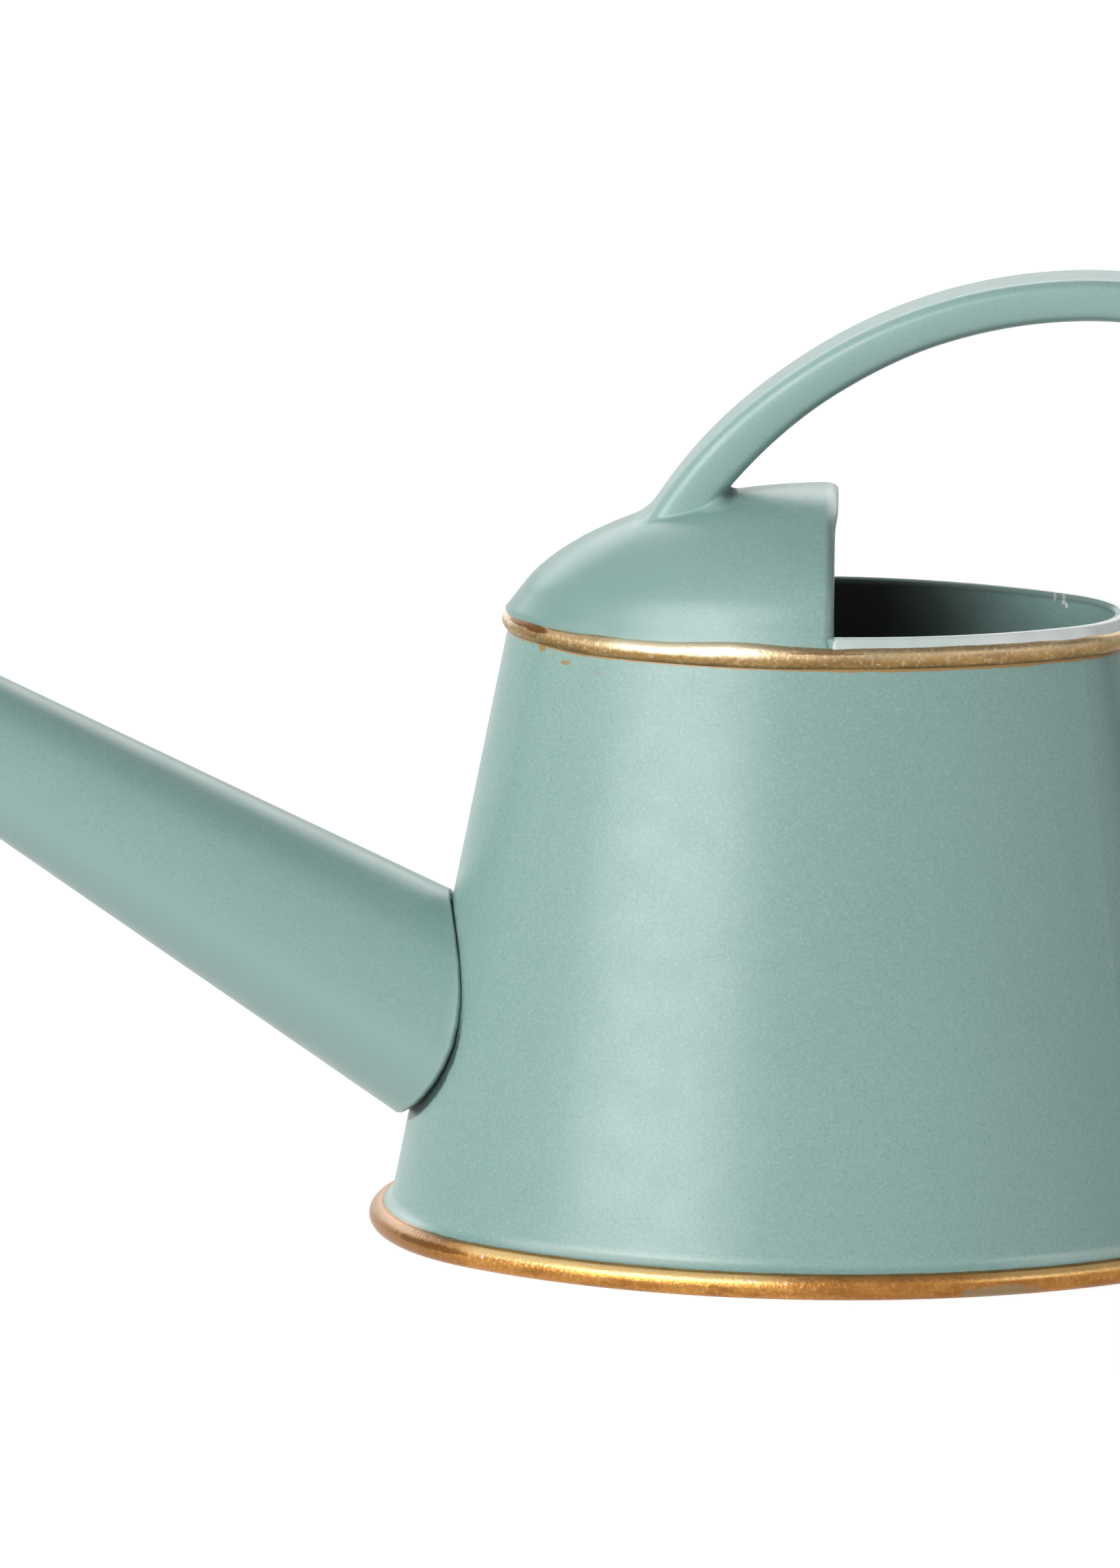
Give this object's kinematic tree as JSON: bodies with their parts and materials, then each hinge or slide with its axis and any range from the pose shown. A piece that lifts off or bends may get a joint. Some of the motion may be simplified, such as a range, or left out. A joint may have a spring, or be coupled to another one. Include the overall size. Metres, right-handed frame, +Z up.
{
  "type": "toy watering can",
  "caption": "Small painted metal toy watering can with an oval tapered body, beaded edges, a half hood, a looped bar handle and a long spout with a perforated rose.",
  "frame": {"origin": "middle of the oval foot, on the plane that the can stands on", "axes": "+Z up, +X from the spout towards the handle along the can's length, +Y across the can"},
  "size_m": [0.0964, 0.033, 0.0501],
  "materials": {
    "mint_paint": "satin dusty mint enamel with a fine orange-peel skin and a few specks",
    "gold_paint": "hand-brushed antique gold, streaky, with uneven edges and small worn spots"
  },
  "bodies": {
    "root": {"body_shell": "mint_paint", "base_plate": "mint_paint", "foot_bead": "gold_paint", "rim_bead": "gold_paint", "hood": "mint_paint", "handle": "mint_paint", "spout": "mint_paint", "rose_cup": "mint_paint", "rose_face": "mint_paint", "rose_bead": "gold_paint"}
  },
  "joints": []
}
